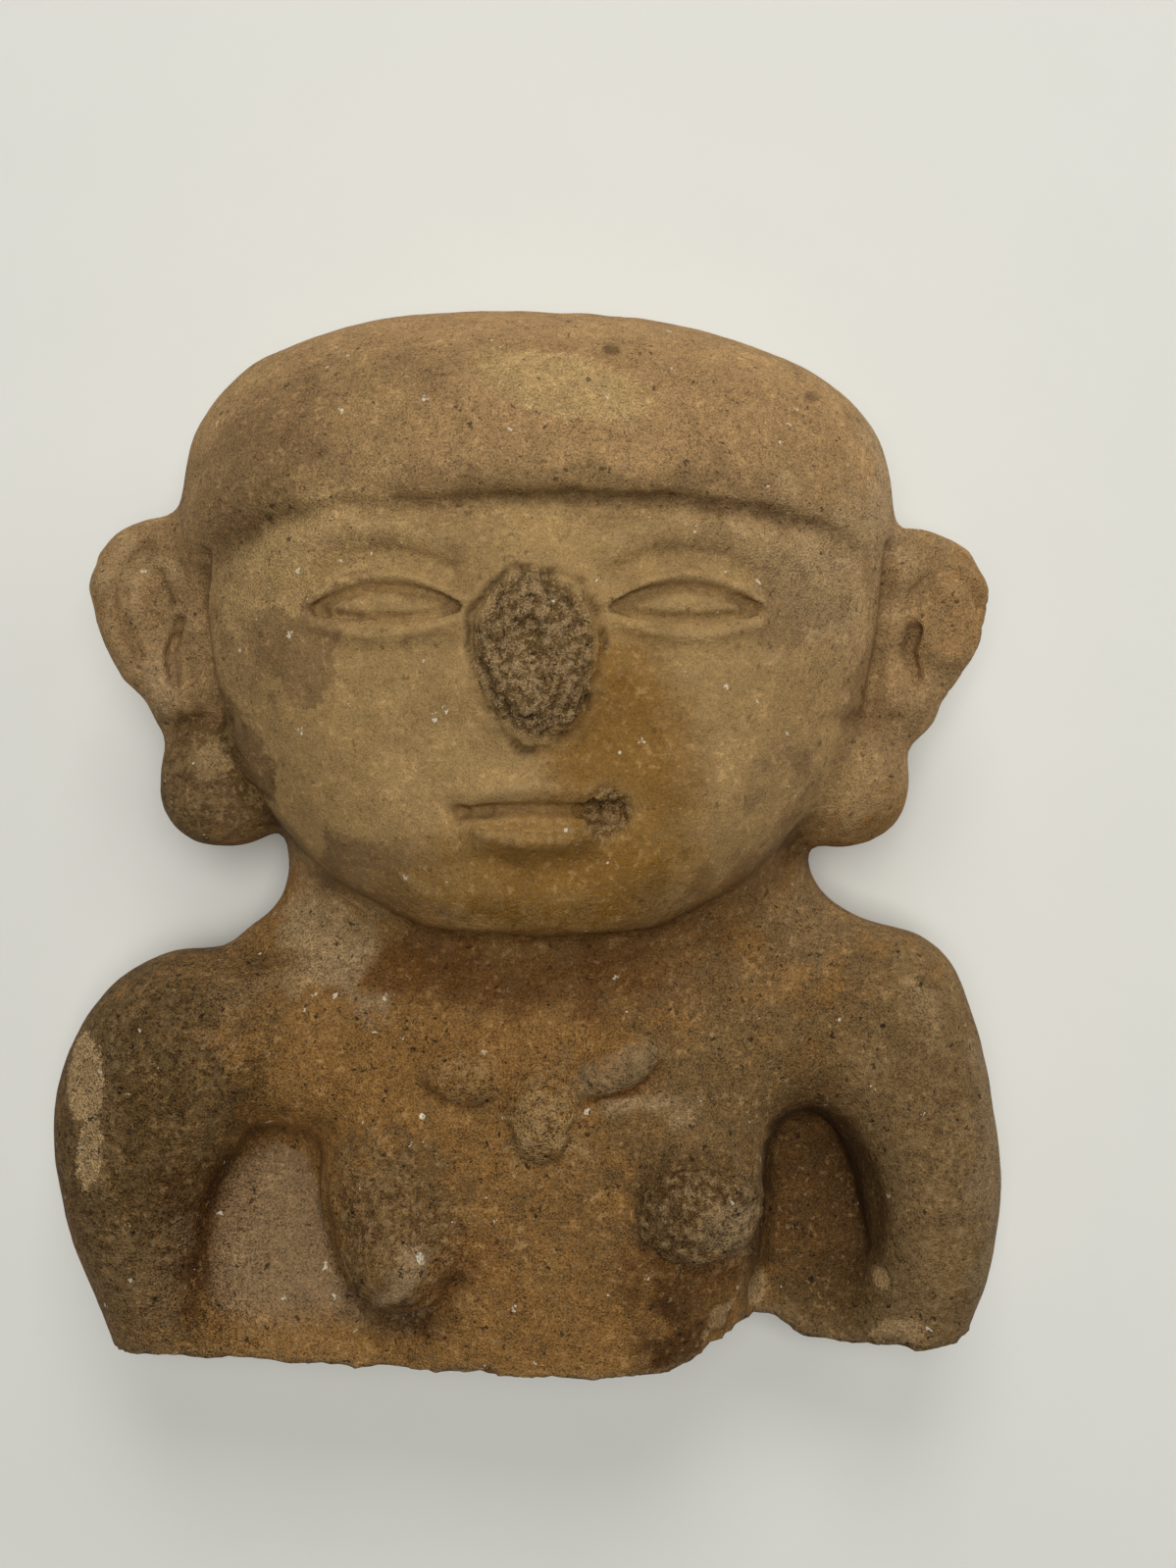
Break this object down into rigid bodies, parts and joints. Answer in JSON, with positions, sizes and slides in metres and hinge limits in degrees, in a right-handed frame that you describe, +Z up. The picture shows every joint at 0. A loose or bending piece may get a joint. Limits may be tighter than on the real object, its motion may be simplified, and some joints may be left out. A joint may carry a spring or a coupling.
{
  "type": "effigy figure",
  "caption": "Broken terracotta effigy figure lying on its back: large capped head, ears with round ornaments, shoulders, arm stumps and chest with beads, cut by an old break.",
  "frame": {"origin": "under the middle of the figure's outline, on the surface that it lies on", "axes": "+Z up from the table, out of the figure's front; +Y along the figure to its crown; +X to the viewer's right when its face is looked at with the crown up"},
  "size_m": [0.1204, 0.132, 0.0574],
  "materials": {
    "terracotta": "worn unglazed terracotta with sand temper, buff slip on the face, red-brown cap and grey fire clouds on the shoulders"
  },
  "bodies": {
    "root": {"effigy_figure": "terracotta"}
  },
  "joints": []
}
